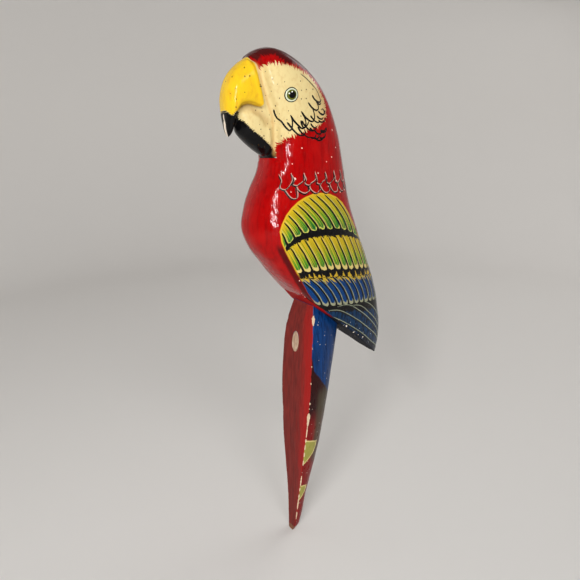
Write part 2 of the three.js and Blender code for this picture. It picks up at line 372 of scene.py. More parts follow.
# ---- The bird's side unrolled ----
class Chart:
    """Turns places on the bird's side into (r, z) and back.

    Here r is the distance round from the middle of the back, and z is the height.
    """

    LEVELS = np.arange(166.0, 446.0)
    ANGLES = np.linspace(0, math.pi, 181)
    REACH = np.arange(0, 170, 0.5)

    def __init__(self):
        shares, angles = np.linspace(0, TOP_RING, 300), np.linspace(math.pi, 0, 241)
        grid = body_points(*np.meshgrid(shares, angles, indexing="ij"))
        columns = grid.swapaxes(0, 1)
        x, y = (np.array([np.interp(self.LEVELS, column[:, 2], column[:, k]) for column in columns]).T
                for k in (0, 1))
        step = np.hypot(np.diff(x, axis=1), np.diff(y, axis=1))
        r = np.concatenate([np.zeros((len(x), 1)), np.cumsum(step, axis=1)], 1)
        self.middle = (y[:, 0] + y[:, -1]) / 2
        turn = np.arctan2(x, y - self.middle[:, None])
        turn = np.maximum.accumulate(turn, axis=1)
        self.r = np.array([np.interp(self.ANGLES, turn[i], r[i]) for i in range(len(x))])
        self.x, self.y = (np.array([np.interp(self.REACH, r[i], table[i]) for i in range(len(x))])
                          for table in (x, y))

    def look_up(self, table, z, place):
        row = np.clip(z - self.LEVELS[0], 0, len(self.LEVELS) - 1.001)
        column = np.clip(place, 0, table.shape[1] - 1.001)
        i, j = row.astype(int), column.astype(int)
        a, b = row - i, column - j
        low = table[i, j] * (1 - b) + table[i, j + 1] * b
        high = table[i + 1, j] * (1 - b) + table[i + 1, j + 1] * b
        return low * (1 - a) + high * a

    def unroll(self, points):
        """The r of each point."""
        z = points[:, 2]
        middle = np.interp(z, self.LEVELS, self.middle)
        turn = np.arctan2(np.abs(points[:, 0]), points[:, 1] - middle)
        return self.look_up(self.r, z, turn / math.pi * (len(self.ANGLES) - 1))

    def wrap(self, r, z):
        """Points of the left side at these distances and heights."""
        place = np.abs(r) / self.REACH[1]
        x = self.look_up(self.x, z, place) * np.sign(r + 1e-9)
        return np.stack([x, self.look_up(self.y, z, place), z], -1)


chart = Chart()


# ---- Lines painted or carved on the head, as (y, z) seen from the side ----
GROOVE = [
    (-29, 438), (-26, 433), (-24.5, 426), (-23, 419), (-21, 412), (-18, 403), (-15, 394),
    (-14, 384), (-13, 376), (-12, 366),
]
HOLLOW = [(-36, 402.3), (-33, 402.5), (-30, 401.8), (-27, 400), (-24, 398), (-21.5, 395.5), (-19, 391.5)]
MOUTH = [(-41, 399), (-39.5, 401.5), (-36.5, 403.3), (-33, 404.3), (-30, 404), (-26.5, 403), (-23, 402)]
SPLIT = [(-41.5, 385), (-41.5, 390), (-40.8, 396)]
FACE = [
    (-30, 426), (-24.5, 427.5), (-20.5, 430), (-16, 430.5), (-11, 430), (-5, 429), (1, 427), (8, 425),
    (14, 421), (19, 415), (24, 409), (26, 403), (25.5, 396), (20, 390), (13, 387.5), (7, 386), (0, 383),
    (-5, 381.5), (-9, 380), (-11.5, 377), (-12, 372), (-12.5, 366), (-30, 364),
]
CROWN_EDGE = [
    (-40, 433), (-30, 434.5), (-26, 435), (-21, 436), (-16, 437), (-12, 435), (-9, 431.5), (-2, 430.5),
    (6, 428.5), (13, 426), (19, 423), (26, 419), (36, 413), (50, 408),
]
YELLOW = [
    (-30, 439), (-26.8, 434), (-25.6, 422), (-24, 413), (-22.3, 404.5), (-24, 402.6), (-27, 403),
    (-30, 404), (-33, 404.3), (-36.5, 403.3), (-39, 401.5), (-41, 400), (-43, 399.5), (-44.8, 397),
    (-46, 397.5), (-47.5, 400), (-49, 402), (-62, 403), (-62, 446), (-34, 446),
]
BLACK = [
    (-49, 402), (-47.5, 400), (-46, 397.5), (-44.8, 397), (-43.2, 399.5), (-41, 400), (-39.4, 398.6),
    (-39, 395.8), (-37.3, 394), (-35.6, 392.5), (-32.6, 389), (-29.4, 386), (-24.8, 383), (-21, 380),
    (-17.8, 377), (-13, 373.5), (-11.5, 370.3), (-11.5, 360), (-62, 360), (-62, 402),
]
EYE = (-6, 410)
EYE_RADIUS = 5.0
EYE_RIM, EYE_DOME = 0.12, 0.75  # the height of its rim, and how much higher its middle is
PUPIL = (0.4, 0.1)  # the middle of the pupil, from the middle of the eye
GLINTS = ((0.1, 2.0), (-1.9, 0.9))

# ---- Lines on the wing, as (r, z) on the unrolled side ----
WING_TOP = [
    (-6, 246), (0, 248), (6, 262), (11, 277), (17, 292), (23, 305.5), (30, 319), (38, 330), (45, 335),
    (52, 338), (60, 339.5), (68, 339.5), (76, 337.5), (83, 334.5), (90, 330), (96, 325), (102, 318.5),
    (106, 313),
]
WING_FRONT = [  # as (z, r), from the top down
    (313, 106), (305, 107.7), (297, 107.5), (289, 106.5), (279, 105), (269, 103), (258, 101), (244, 96),
    (238, 92), (225, 83),
]
# The whole wing as a closed outline, past its tips and the middle of the back.
WING = WING_TOP + [(r, z) for z, r in WING_FRONT] + [(60, 150), (-60, 150), (-60, 246)]
# The lower edge of each row of feathers and the black band under it, from the back round to the front.
ROW_ENDS = [
    [(0, 282), (10, 288), (21, 294), (34, 299), (48, 303), (61, 304.5), (71, 306), (82, 306), (93, 304.5),
     (101, 301), (107, 297)],
    [(0, 255), (33, 261.5), (50, 264), (62, 267), (75, 269), (89, 271), (101, 272.5)],
    [(0, 224), (20, 227), (48, 232), (64, 234.5), (77, 237), (92, 240), (100, 243)],
]
PRIMARY_END = [(0, 166), (15, 175), (31, 187), (67, 214), (82, 229), (92, 238)]
# How each row's feathers lean: (height that the lean starts from, how fast it grows, spacing, offset)
LEANS = [(305, 0.0165, 8.05, 0.07), (271, 0.005, 7.8, 0.4), (240, 0.013, 7.3, 0.6)]
TIP_STARTS = (0.84, 0.82, 0.86)  # where in its row each feather's tip ends and the black band starts


# ---- Measuring on a flat pattern ----
def measure(places, line, closed=False):
    """Distance of each place from a line and the length along it to the nearest point.

    The distance is positive to the left of an open line, and inside a closed one.
    """
    line = np.array(line, float)
    if closed:
        line = np.vstack([line, line[:1]])
        line = line[np.append(True, np.any(np.diff(line, axis=0) != 0, axis=1))]
    else:
        line = through(line, np.linspace(0, 1, 5 * len(line)))
    best = np.full(len(places), 1e9)
    along, side = np.zeros(len(places)), np.ones(len(places))
    inside = np.zeros(len(places), bool)
    start = 0.0
    for a, b in zip(line[:-1], line[1:]):
        step, off = b - a, places - a
        length = np.hypot(*step)
        t = np.clip(off @ step / length**2, 0, 1)
        distance = np.hypot(*(off - t[:, None] * step).T)
        nearer = distance < best
        best = np.where(nearer, distance, best)
        along = np.where(nearer, start + t * length, along)
        side = np.where(nearer, np.sign(step[0] * off[:, 1] - step[1] * off[:, 0]), side)
        spans = (a[1] > places[:, 1]) != (b[1] > places[:, 1])
        crossing = a[0] + (places[:, 1] - a[1]) / (step[1] if step[1] else 1e-9) * step[0]
        inside ^= spans & (places[:, 0] < crossing)
        start += length
    return best * (np.where(inside, 1, -1) if closed else side), along


def under_height(points):
    """Height above the flat underside of the bird's body, square to it."""
    (y0, z0), (y1, z1) = FRONT[0], BACK[0]
    run, fall = y1 - y0, z1 - z0
    return ((points[:, 2] - z0) * run - (points[:, 1] - y0) * fall) / math.hypot(run, fall)


# ---- Wear: chips in the paint, as (place on a flat pattern, half sizes) ----
WING_CHIPS = [
    ((88, 234), (1.6, 0.7)), ((71, 219.5), (2.4, 0.6)), ((67, 217.5), (0.9, 1.2)),
    ((57, 208), (1.6, 0.5)), ((43, 198.5), (1.3, 0.8)), ((76, 226.5), (0.7, 0.5)),
    ((30, 188), (1.1, 0.5)), ((85, 237.5), (0.8, 0.5)), ((50, 203), (0.6, 0.5)),
    ((63, 214), (0.7, 0.4)), ((36, 193), (0.6, 0.4)),
]
TAIL_CHIPS = [  # (z, half height, half width) down the front edges of the tail
    (229, 4.2, 1.6), (152, 1.6, 0.7), (147, 1.0, 0.5), (137, 5.2, 1.7), (131, 3.0, 1.1), (122, 6.5, 0.55),
    (112, 2.0, 0.8), (104, 3.2, 0.6), (96, 2.6, 0.7), (86, 3.5, 0.6), (64, 7.0, 0.7), (53, 2.5, 0.6),
    (44, 3.0, 1.0), (35, 8.0, 0.75), (20, 5.0, 0.6), (172, 1.4, 0.5), (188, 0.9, 0.5), (205, 1.2, 0.4),
]
CHIP_DEPTH = 0.35


def chip_field(places, chips):
    """Above 0 inside a chip, 1 at its middle."""
    best = np.full(len(places), -9.0)
    for place, size in chips:
        off = (places - np.array(place)) / np.array(size)
        best = np.maximum(best, 1 - np.hypot(*off.T))
    return best


def ripple(points, size, seed):
    """Gentle bumps about this many millimetres across, mostly from -1 to 1."""
    random = np.random.default_rng(seed)
    total = np.zeros(len(points))
    for _ in range(7):
        direction = random.normal(size=3)
        direction *= TURN / (size * random.uniform(0.8, 1.9)) / np.linalg.norm(direction)
        total += np.sin(points @ direction + random.uniform(0, 6.3))
    return total / 4


# ---- The carving ----
# Each cut's line, depth and width.
HEAD_CUTS = ((GROOVE, 1.9, 2.1), (HOLLOW, 2.3, 2.6), (MOUTH, 0.9, 0.8), (SPLIT, 1.2, 0.8))


def carve_head(piece):
    """Cuts the groove behind the beak, the hollow at its corner and the split of its tip."""
    points = points_of(piece)
    side = points[:, 1:]
    sides = smoothstep(np.abs(points[:, 0]), 3, 8) * smoothstep(points[:, 2], 360, 368)
    cuts = np.zeros(len(points))
    for line, depth, width in HEAD_CUTS:
        distance = measure(side, line)[0]
        cuts += depth * np.exp(-((distance / width) ** 2))
    ahead = measure(side, GROOVE)[0]
    cuts -= 0.8 * np.exp(-(((ahead + 3.8) / 1.8) ** 2)) + 0.5 * np.exp(-(((ahead - 3.6) / 1.8) ** 2))
    press_in(piece, cuts * sides)


def carve_surface(piece):
    """Leaves the faint unevenness of hand carving, and the chips in the wings' lower edge and beak."""
    points = points_of(piece)
    dips = 0.12 * ripple(points, 14, 1) + 0.05 * ripple(points, 5, 2) + 0.3
    dips += CHIP_DEPTH * smoothstep(wing_chips(points), 0, 0.5)
    dips += CHIP_DEPTH * smoothstep(hook_chip(points), 0, 0.4)
    press_in(piece, dips)


def wing_chips(points):
    places = np.stack([chart.unroll(points), points[:, 2]], 1)
    jagged = 0.25 * ripple(points, 1.6, 5)
    return chip_field(places, WING_CHIPS) + jagged - 0.1


def hook_chip(points):
    """Above 0 on the bare front edge of the hook of the beak."""
    x, y, z = points.T
    edge = curve([(380, -45.5), (386, -46.8), (392, -47.8), (402, -48.4)], z)
    across = 1 - np.abs(x + 0.6) / 2.0 - 2 * smoothstep(y - edge, 0.2, 2.6)
    return across + 0.35 * ripple(points, 3, 6) - smoothstep(z, 392, 400) - 0.1


def carved_bird():
    bodies = [loft(body_rings(*BODY_GRID))]
    bodies.append(loft(beak_rings(UPPER_BEAK, *UPPER_GRID)))
    bodies.append(loft(beak_rings(LOWER_BEAK, *LOWER_GRID)))
    bird = new_piece("bird", *joined(bodies))
    remesh(bird, VOXEL)
    z = points_of(bird)[:, 2]
    soften(bird, smoothstep(z, 350, 375), 4)
    carve_head(bird)
    carve_surface(bird)
    soften(bird, np.full(len(z), 0.5), 1)
    return bird


def tail_at(column, z):
    """A column of the tail's table at these heights."""
    return curve([(row[0], row[column]) for row in TAIL], z)


def tail_front(z):
    return tail_at(1, z)


def peg_line():
    """The start and end of the wooden peg's axis, and its radius."""
    low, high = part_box("tail_peg")
    x = (low.x + high.x) / 2 / MM
    direction = np.array([0, math.cos(PEG_RISE), math.sin(PEG_RISE)])
    entry = np.array([x, float(tail_front(PEG_HEIGHT)), PEG_HEIGHT])
    start, end = (entry + direction * reach for reach in PEG_HOLE)
    return start, end, (high.x - low.x) / 2 / MM - PEG_SLIMMER


DOWELS = ("dowel_head", "dowel_breast", "dowel_back", "dowel_rump")


def socket_cutter(wood):
    """Everything that is hollow inside the bird: seed chamber, dowel holes, mortise and peg hole."""
    holes = [chamber_body()]
    for name in DOWELS:
        low, high = (np.array(corner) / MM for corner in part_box(name))
        middle, radius = (low + high) / 2, (high[2] - low[2]) / 2
        start = (low[0] - DOWEL_END_GAP, *middle[1:])
        end = (high[0] + DOWEL_END_GAP, *middle[1:])
        holes.append(rod_body(start, end, radius + DOWEL_GAP))
    cutter = new_piece("sockets", *joined(holes), [wood])
    mortise = new_piece("mortise", *box_body(*MORTISE), [wood])
    start, end, radius = peg_line()
    hole = new_piece("peg_hole", *rod_body(start, end, radius + PEG_GAPS[1]), [wood])
    combine(mortise, hole, "UNION")
    combine(cutter, mortise, "UNION")
    return cutter


UNDERSIDE_DEPTH = 1.2  # how far up from the flat underside its paint reaches
DOWNWARD = -0.45  # the z of the normal of a face that counts as facing down


def paint_underside(half, slot):
    """Gives the flat underside its own material: dull red paint ahead and painted shade behind."""
    faces = half.data.polygons
    low = under_height(read(faces, "center", 3) / MM) < UNDERSIDE_DEPTH
    downward = read(faces, "normal", 3)[:, 2] < DOWNWARD
    slots = read(faces, "material_index", 1, np.int32).ravel()
    slots[(slots == 0) & low & downward] = slot
    faces.foreach_set("material_index", slots)


def half_of(bird, side, name, materials):
    """One half of the bird, cut down its glue line, closed and hollowed."""
    half = in_scene(name, bird.data.copy())
    cut_flat(half, Vector((side * JOINT_GAP * MM, 0, 0)), (-side, 0, 0), slot=1)
    for material in materials:
        half.data.materials.append(material)
    combine(half, socket_cutter(materials[1]), "DIFFERENCE")
    paint_underside(half, 2)
    return half


# ---- Fields that the paint reads ----
def wing_rows(r, z):
    """How many rows down the wing each place is, with its share of the row as the fraction."""
    edges = [np.maximum(curve(WING_TOP, r), curve(ROW_ENDS[0], r) + 3)]
    edges += [curve(line, r) for line in ROW_ENDS] + [curve(PRIMARY_END, r)]
    row = np.zeros(len(r))
    for i, (top, bottom) in enumerate(zip(edges[:-1], edges[1:])):
        share = (top - z) / np.maximum(top - bottom, 3)
        row = np.where(share > 0, i + np.clip(share, 0, 1), row)
    return row


def feather_at(row, r, z):
    """The number of the feather that a place of this row of the wing belongs to, growing with r."""
    start, lean, spacing, offset = LEANS[row]
    return (r - lean * np.maximum(z - start, 0) ** 2) / spacing + offset


def feather_edge(row, number, z):
    start, lean, spacing, offset = LEANS[row]
    return (number - offset) * spacing + lean * np.maximum(z - start, 0) ** 2


def paint_fields(piece):
    points = points_of(piece)
    side = points[:, 1:]
    r, z = chart.unroll(points), points[:, 2]
    row = wing_rows(r, z)
    which = np.clip(row.astype(int), 0, 2)
    feather = np.choose(which, [feather_at(i, r, z) for i in range(3)])
    face, face_along = measure(side, FACE, closed=True)
    crown, crown_along = measure(side, CROWN_EDGE)
    black, black_along = measure(side, BLACK, closed=True)
    fields = {
        "wing": measure(np.stack([r, z], 1), WING, closed=True)[0],
        "wing_row": row, "wing_feather": feather, "wing_r": r,
        "face": face, "face_along": face_along, "crown": crown, "crown_along": crown_along,
        "beak": -measure(side, GROOVE)[0], "yellow": measure(side, YELLOW, closed=True)[0],
        "black": black, "black_along": black_along,
        "hollow": np.exp(-((measure(side, HOLLOW)[0] / 2.2) ** 2)),
        "mouth": np.exp(-((measure(side, MOUTH)[0] / 0.8) ** 2)),
        "chip": np.maximum(wing_chips(points), hook_chip(points)),
    }
    for name, values in fields.items():
        set_field(piece, name, values)


# ---- Materials ----
def linear(colour):
    """A colour given as 0 to 255 per channel, as the shaders take it."""
    shares = [c / 255 for c in colour]
    return [c / 12.92 if c <= 0.04045 else ((c + 0.055) / 1.055) ** 2.4 for c in shares] + [1.0]


def feed(node, inputs):
    """Sets or links a node's inputs, given as {name or number: value or source}."""
    for place, value in inputs.items():
        value = value.socket if isinstance(value, Number) else value
        if isinstance(value, bpy.types.NodeSocket):
            node.id_data.links.new(value, node.inputs[place])
        else:
            node.inputs[place].default_value = value


def new_node(tree, kind, inputs, **options):
    node = tree.nodes.new("ShaderNode" + kind)
    for option, value in options.items():
        setattr(node, option, value)
    feed(node, inputs)
    return node


class Number:
    """A number that a material's nodes work out, written with ordinary arithmetic."""

    def __init__(self, socket):
        self.socket = socket

    def maths(self, operation, *others):
        inputs = dict(enumerate((self, *others)))
        return Number(new_node(self.socket.id_data, "Math", inputs, operation=operation).outputs[0])

    def __add__(self, other):
        return self.maths("ADD", other)

    def __sub__(self, other):
        return self.maths("SUBTRACT", other)

    def __mul__(self, other):
        return self.maths("MULTIPLY", other)

    def flip(self):
        return (self * -1) + 1

    def above(self, edge, soft=0.15):
        """0 below the edge and 1 above it, with a soft step."""
        inputs = {"Value": self, "From Min": edge - soft, "From Max": edge + soft}
        step = new_node(self.socket.id_data, "MapRange", inputs, interpolation_type="SMOOTHSTEP")
        return Number(step.outputs["Result"])

    def below(self, edge, soft=0.15):
        return self.above(edge, soft).flip()

    def between(self, low, high, soft=0.15):
        return self.above(low, soft) * self.below(high, soft)


class Paint:
    """A node material built up in coats: each cover() lays a colour over the ones before it."""

    def __init__(self, name, colour):
        self.material = bpy.data.materials.new(name)
        self.material.use_nodes = True
        self.shader = self.material.node_tree.nodes["Principled BSDF"]
        self.colour = linear(colour)
        inputs = {0: self.node("TexCoord", {}).outputs["Object"], "Scale": 1 / MM}
        self.place = self.node("VectorMath", inputs, operation="SCALE").outputs[0]

    def node(self, kind, inputs, **options):
        return new_node(self.material.node_tree, kind, inputs, **options)

    def field(self, name):
        """What set_field() stored under this name."""
        return Number(self.node("Attribute", {}, attribute_name=name).outputs["Fac"])

    def axis(self, name):
        """The X, Y or Z of the place, in millimetres."""
        return Number(self.node("SeparateXYZ", {0: self.place}).outputs[name])

    def noise(self, size, stretch=(1, 1, 1), detail=3.0):
        """Cloudy values from 0 to 1, size millimetres across times the stretch along each axis."""
        scale = {0: self.place, 1: [size * s for s in stretch]}
        place = self.node("VectorMath", scale, operation="DIVIDE").outputs[0]
        inputs = {"Vector": place, "Scale": 1.0, "Detail": detail}
        return Number(self.node("TexNoise", inputs).outputs["Fac"])

    def strokes(self, along, size, seed=0.0):
        """Uneven values from 0 to 1 that change only along a field, as brush strokes across it do."""
        inputs = {"W": along * (1 / size) + seed, "Scale": 1.0, "Detail": 2.0}
        return Number(self.node("TexNoise", inputs, noise_dimensions="1D").outputs["Fac"])

    def dots(self, across, up, spacing, radius, share):
        """1 on small round dots scattered over a flat pattern, on this share of its cells."""
        place = self.node("CombineXYZ", {"X": across * (1 / spacing), "Y": up * (1 / spacing)})
        inputs = {"Vector": place.outputs[0], "Scale": 1.0}
        cells = self.node("TexVoronoi", inputs, voronoi_dimensions="2D")
        distance = Number(cells.outputs["Distance"]) * spacing
        random = self.node("SeparateColor", {0: cells.outputs["Color"]})
        chosen = Number(random.outputs[0]).below(share, 0.001)
        size = Number(random.outputs[1]) * (radius * 0.55) + radius * 0.45
        return (size - distance).above(0, 0.12) * chosen

    def cover(self, colour, mask):
        """Lays a colour over what is there, where the mask is 1."""
        colour = linear(colour) if isinstance(colour, tuple) else colour
        inputs = {"Factor": mask, 6: self.colour, 7: colour}
        self.colour = self.node("Mix", inputs, data_type="RGBA").outputs[2]

    def blend(self, first, second, share):
        """A colour between two others, without laying it on."""
        kept = self.colour
        self.colour = linear(first)
        self.cover(second, share)
        made, self.colour = self.colour, kept
        return made

    def finish(self, roughness, height, depth, specular=0.22):
        """Sets the gloss, and bumps depth millimetres high from a height of 0 to 1."""
        bump = self.node("Bump", {"Distance": depth * MM, "Height": height})
        feed(self.shader, {
            "Base Color": self.colour, "Roughness": roughness, "Normal": bump.outputs[0],
            "Specular IOR Level": specular,
        })
        return self.material


# ---- Colours, as 0 to 255 per channel ----
# The body and the head.
RED, DEEP_RED, BRIGHT_RED, SHADE_RED = (158, 4, 5), (98, 3, 5), (186, 16, 12), (60, 5, 6)
MAROON, BLACK_PAINT, PINHOLE = (74, 11, 10), (10, 9, 10), (56, 38, 14)
CREAM, OCHRE = (214, 194, 138), (192, 154, 98)
# The last two colours on the next line are painted shade, in the hollow at the beak's corner and along
# the mouth line.
TAN, HOLLOW_SHADE, MOUTH_SHADE = (192, 142, 78), (168, 134, 84), (92, 66, 26)
YELLOW_PAINT, GOLD = (228, 186, 34), (216, 162, 38)
PINK_DOT, BLUE_DOT = (250, 206, 190), (176, 190, 204)
CHIPPED = ((232, 212, 184), (214, 206, 196))  # bare wood in a chip, and where it is greyer
# The flat underside: red paint ahead, and behind a near-black navy that is painted shade.
UNDERSIDE_RED_AND_SHADE = ((150, 8, 8), (14, 14, 24))  # ahead, and behind
EYE_WHITE, IRIS = ((222, 226, 204), (186, 194, 150)), ((122, 124, 24), (44, 58, 12))
GLINT = (238, 240, 224)
# The wings.
WING_YELLOW, WING_GOLD, GLEAM, RIM_GOLD = (196, 166, 30), (190, 148, 34), (204, 190, 52), (206, 164, 40)
GREEN, DEEP_GREEN, OLIVE = (72, 138, 30), (18, 96, 42), (112, 122, 22)
ROOT_GOLD, BLOT_GOLD = (186, 156, 44), (188, 154, 40)
BLUE, DEEP_BLUE = (5, 56, 112), (3, 18, 44)
NAVY, DEEP_NAVY, DARK_EDGE = (5, 48, 84), (3, 18, 36), (10, 14, 26)
FEATHER_ENDS = (  # of each row from the top: the colour, how far it reaches up, and its softness
    ((196, 198, 92), -0.01, 0.016), ((208, 188, 114), 0.055, 0.014), ((146, 146, 118), 0.045, 0.014),
)
# The tail.
TAIL_RED, TAIL_STREAK, TAIL_SHADE = (124, 8, 7), (98, 8, 8), (42, 6, 6)
# The last colour on the next line is painted shade on the back part of the tail's sides.
TAIL_BLUE, TAIL_BACK_SHADE = ((8, 58, 116), (5, 34, 74)), (66, 56, 38)
PATCH_RIM, PATCH = (208, 192, 124), ((164, 156, 74), (134, 132, 52))
FRONT_RED, FRONT_BRIGHT = ((122, 37, 31), (96, 30, 26)), (162, 20, 17)
TAIL_TIP, TAIL_DOT = ((140, 96, 70), (92, 56, 42)), (200, 190, 176)
TAIL_CHIPPED = (CHIPPED[0], (176, 144, 108))
# Bare wood, seeds and the floor.
WOOD, WOOD_GRAIN, WOOD_CLOUD = (182, 154, 130), (128, 94, 70), (212, 188, 164)
SEED, SEED_MOTTLE = (104, 62, 30), (48, 26, 14)
FLOOR, FLOOR_BEHIND = (172, 171, 170), (226, 223, 219)
LINE_COLOURS = {  # fresh, and where it is worn
    "line_black": (BLACK_PAINT, (24, 20, 20)),
    "line_cream": ((202, 186, 98), (170, 152, 62)),
    "line_pale": ((144, 150, 126), (92, 110, 106)),
    "line_white": ((188, 156, 142), (158, 80, 72)),
}

SHARP = 0.002  # the softness of a step between rows of feathers


def red_coat(paint):
    """Red paint put on with long strokes down the bird, thinner and darker in places."""
    streaks = paint.noise(2.2, (1, 1, 9))
    paint.cover(DEEP_RED, streaks.above(0.58, 0.16) * 0.5)
    paint.cover(BRIGHT_RED, paint.noise(9, (1, 1, 2)).above(0.6, 0.14) * 0.35)


def feather_tips(paint, row, feather, share, mask):
    """Cream tips rounded like fingers, and the black paint brushed in below them."""
    off_centre = (feather.maths("FRACT") - 0.5).maths("ABSOLUTE") * 2
    rounded = off_centre.maths("POWER", 2.5) * 0.12
    rows = (row.below(1, SHARP), row.between(1, 2, SHARP), row.between(2, 3, SHARP))
    tip_start = row.above(3, SHARP) * 3
    for part, start in zip(rows, TIP_STARTS):
        tip_start = tip_start + part * start
    to_tip = tip_start - rounded - share
    length = paint.strokes(feather, 0.4, 17) * 0.08
    edge = off_centre.maths("POWER", 4.0) * 0.12
    for part, (colour, reach, soft) in zip(rows, FEATHER_ENDS):
        paint.cover(colour, (length + edge + reach - to_tip).above(0, soft) * part * mask)
    paint.cover(BLACK_PAINT, to_tip.below(0, 0.008) * row.below(3, SHARP) * mask)
    blobs = paint.strokes(feather, 0.75, 51) * 0.5 + paint.noise(2.2) * 0.2 + 0.67 - edge * 1.6
    paint.cover(BLOT_GOLD, (share - blobs).above(0, 0.012) * rows[1] * mask)
    below = paint.strokes(feather, 0.5, 77) * 0.2 - 0.08
    paint.cover(BLACK_PAINT, (below - share).above(0, 0.006) * row.between(1, 3, SHARP) * mask)


def wing_coat(paint):
    """Three rows of feathers with rounded cream tips and black bands, and long blue primaries below."""
    row, feather, r = paint.field("wing_row"), paint.field("wing_feather"), paint.field("wing_r")
    inside = paint.field("wing")
    wobble = paint.noise(1.6, detail=1.0) * 0.05 - 0.025
    share = row.maths("FRACT") + wobble * inside.above(0.5, 0.3)
    third = row.between(2, 3, SHARP)
    early = row.below(2, SHARP)
    streak = paint.strokes(feather, 0.16) * 0.8 + paint.strokes(feather, 0.09, 40) * 0.5 - 0.65
    mask = inside.above(0, 0.12)
    paint.cover(WING_YELLOW, mask)
    paint.cover(WING_GOLD, paint.strokes(feather, 0.14, 9).above(0.6, 0.06) * early * mask * 0.6)
    paint.cover(OLIVE, (share * 0.6 + streak).above(0.16, 0.12) * early * mask * 0.8)
    green = (share + streak * 1.1).above(0.44, 0.13) * early
    deep = (share + paint.strokes(feather, 0.3, 60) * 0.5).above(0.9, 0.2)
    paint.cover(paint.blend(GREEN, DEEP_GREEN, deep), green * mask)
    gleam = paint.strokes(feather, 0.1, 90).above(0.6, 0.05) * share.between(0.2, 0.75, 0.2)
    paint.cover(GLEAM, gleam * early * mask * 0.8)
    ragged = paint.strokes(feather, 0.3, 3) * 0.45 + paint.noise(1.5) * 0.08 - 0.17
    paint.cover(ROOT_GOLD, third * mask)
    blue = paint.blend(BLUE, DEEP_BLUE, paint.strokes(feather, 0.25, 33).above(0.56, 0.12))
    paint.cover(blue, (share - ragged).above(0, 0.02) * third * mask)
    navy = paint.blend(NAVY, DEEP_NAVY, paint.noise(1.6, (1, 1, 6)).above(0.52, 0.12))
    paint.cover(navy, row.above(3, SHARP) * mask)
    feather_tips(paint, row, feather, share, mask)
    paint.cover(RIM_GOLD, inside.between(-0.2, 1.0, 0.15) * row.below(1.9, 0.1))
    dark = row.above(3, SHARP) * (row + paint.noise(4) * 0.3).below(3.26, 0.05)
    paint.cover(BLACK_PAINT, dark * mask)
    paint.cover(DARK_EDGE, (row + paint.noise(3) * 0.15 - 0.08).above(3.86, 0.06) * mask * 0.85)
    shadow = inside.between(-5.5, -0.2, 1.4) * row.above(0.75, 0.2) * r.above(84, 4)
    paint.cover(SHADE_RED, shadow * 0.85)


def head_coat(paint):
    """The cream face, the maroon crown, and the yellow, cream and black beak, with painted shade towards
    the back of the face, in the hollow at the beak's corner and along the mouth line.
    """
    face, crown, z = paint.field("face"), paint.field("crown"), paint.axis("Z")
    spikes = paint.strokes(paint.field("face_along"), 1.1) * 7 - 3.6
    hairs = paint.strokes(paint.field("face_along"), 0.45, 30) * 3 - 1.5
    stains = paint.noise(2.0, (1, 1, 1.5)).above(0.6, 0.12) * 0.35
    cream = paint.blend(CREAM, OCHRE, stains)
    # painted shade: the cream turns ochre towards the back of the face, over its ochre stains
    cream_stains_and_shade = paint.blend(CREAM, OCHRE, stains + paint.axis("Y").above(17, 8) * 0.5)
    paint.cover(cream_stains_and_shade, (face + spikes + hairs).above(0, 0.3) * z.above(367.6, 0.3))
    ragged = paint.strokes(paint.field("crown_along"), 1.5, 5) * 7 - 3
    paint.cover(MAROON, (crown + ragged).above(0, 1.0) * z.above(392, 5))
    beak = paint.field("beak")
    paint.cover(cream, beak.above(0, 0.15) * z.above(367.6, 0.3) * z.below(437, 1.2))
    brushed = paint.blend(YELLOW_PAINT, GOLD, paint.noise(3, (1, 1, 2)).above(0.58, 0.14) * 0.7)
    paint.cover(brushed, paint.field("yellow").above(0, 0.35))
    # painted shade: brown in the hollow at the corner of the beak
    paint.cover(HOLLOW_SHADE, paint.field("hollow") * 0.55)
    # painted shade: a dark brown line along the mouth cut
    paint.cover(MOUTH_SHADE, paint.field("mouth") * 0.75)
    bristles = paint.strokes(paint.field("black_along"), 0.55) * 3.2 - 1.7
    paint.cover(BLACK_PAINT, (paint.field("black") + bristles).above(0, 0.12) * z.above(366.6, 0.3))
    paint.cover(TAN, beak.between(-0.6, 0.9, 1.0) * z.between(368, 432, 2) * 0.5)


def carving_paint():
    paint = Paint("painted_carving", RED)
    red_coat(paint)
    wing_coat(paint)
    head_coat(paint)
    face, beak, r, z = paint.field("face"), paint.field("beak"), paint.field("wing_r"), paint.axis("Z")
    crown = paint.field("crown")
    clear = paint.field("wing").below(-1) * face.below(-3) * beak.below(0) * crown.below(-3)
    paint.cover(PINK_DOT, paint.dots(r, z, 9.5, 0.75, 0.5) * clear)
    tips = paint.field("wing_row").above(3.5, 0.05)
    paint.cover(BLUE_DOT, paint.dots(r, z, 6, 0.5, 0.4) * tips * 0.8)
    round_head = paint.axis("Y") + paint.axis("X").maths("ABSOLUTE")
    pinholes = paint.dots(round_head, z, 6.5, 0.62, 0.5) * crown.below(-2)
    bare_head = face.above(0).maths("MAXIMUM", beak.above(0)) * z.above(372, 1)
    paint.cover(PINHOLE, pinholes * bare_head * 0.85)
    chip = paint.field("chip").above(0, 0.05)
    grain = paint.noise(1.2, (1, 1, 12))
    paint.cover(paint.blend(*CHIPPED, grain), chip)
    rough = paint.noise(3, (1, 1, 3)) * 0.1 + chip * 0.3 + 0.05
    height = paint.noise(3.4, (1, 1, 2.5), 2.0) - chip * 0.2
    return paint.finish(rough, height, 0.22, specular=0.15)


def underside_red_and_shade():
    """Dull paint on the flat underside: red ahead, and behind a near-black navy that is painted shade."""
    paint = Paint("underside_red_and_painted_shade", UNDERSIDE_RED_AND_SHADE[0])
    streaks = paint.noise(3, (1, 3, 1))
    # painted shade: behind, the underside turns near-black navy
    paint.cover(UNDERSIDE_RED_AND_SHADE[1], (paint.axis("Y") + streaks * 12).above(38, 4))
    return paint.finish(streaks * 0.2 + 0.6, streaks, 0.1, specular=0.1)


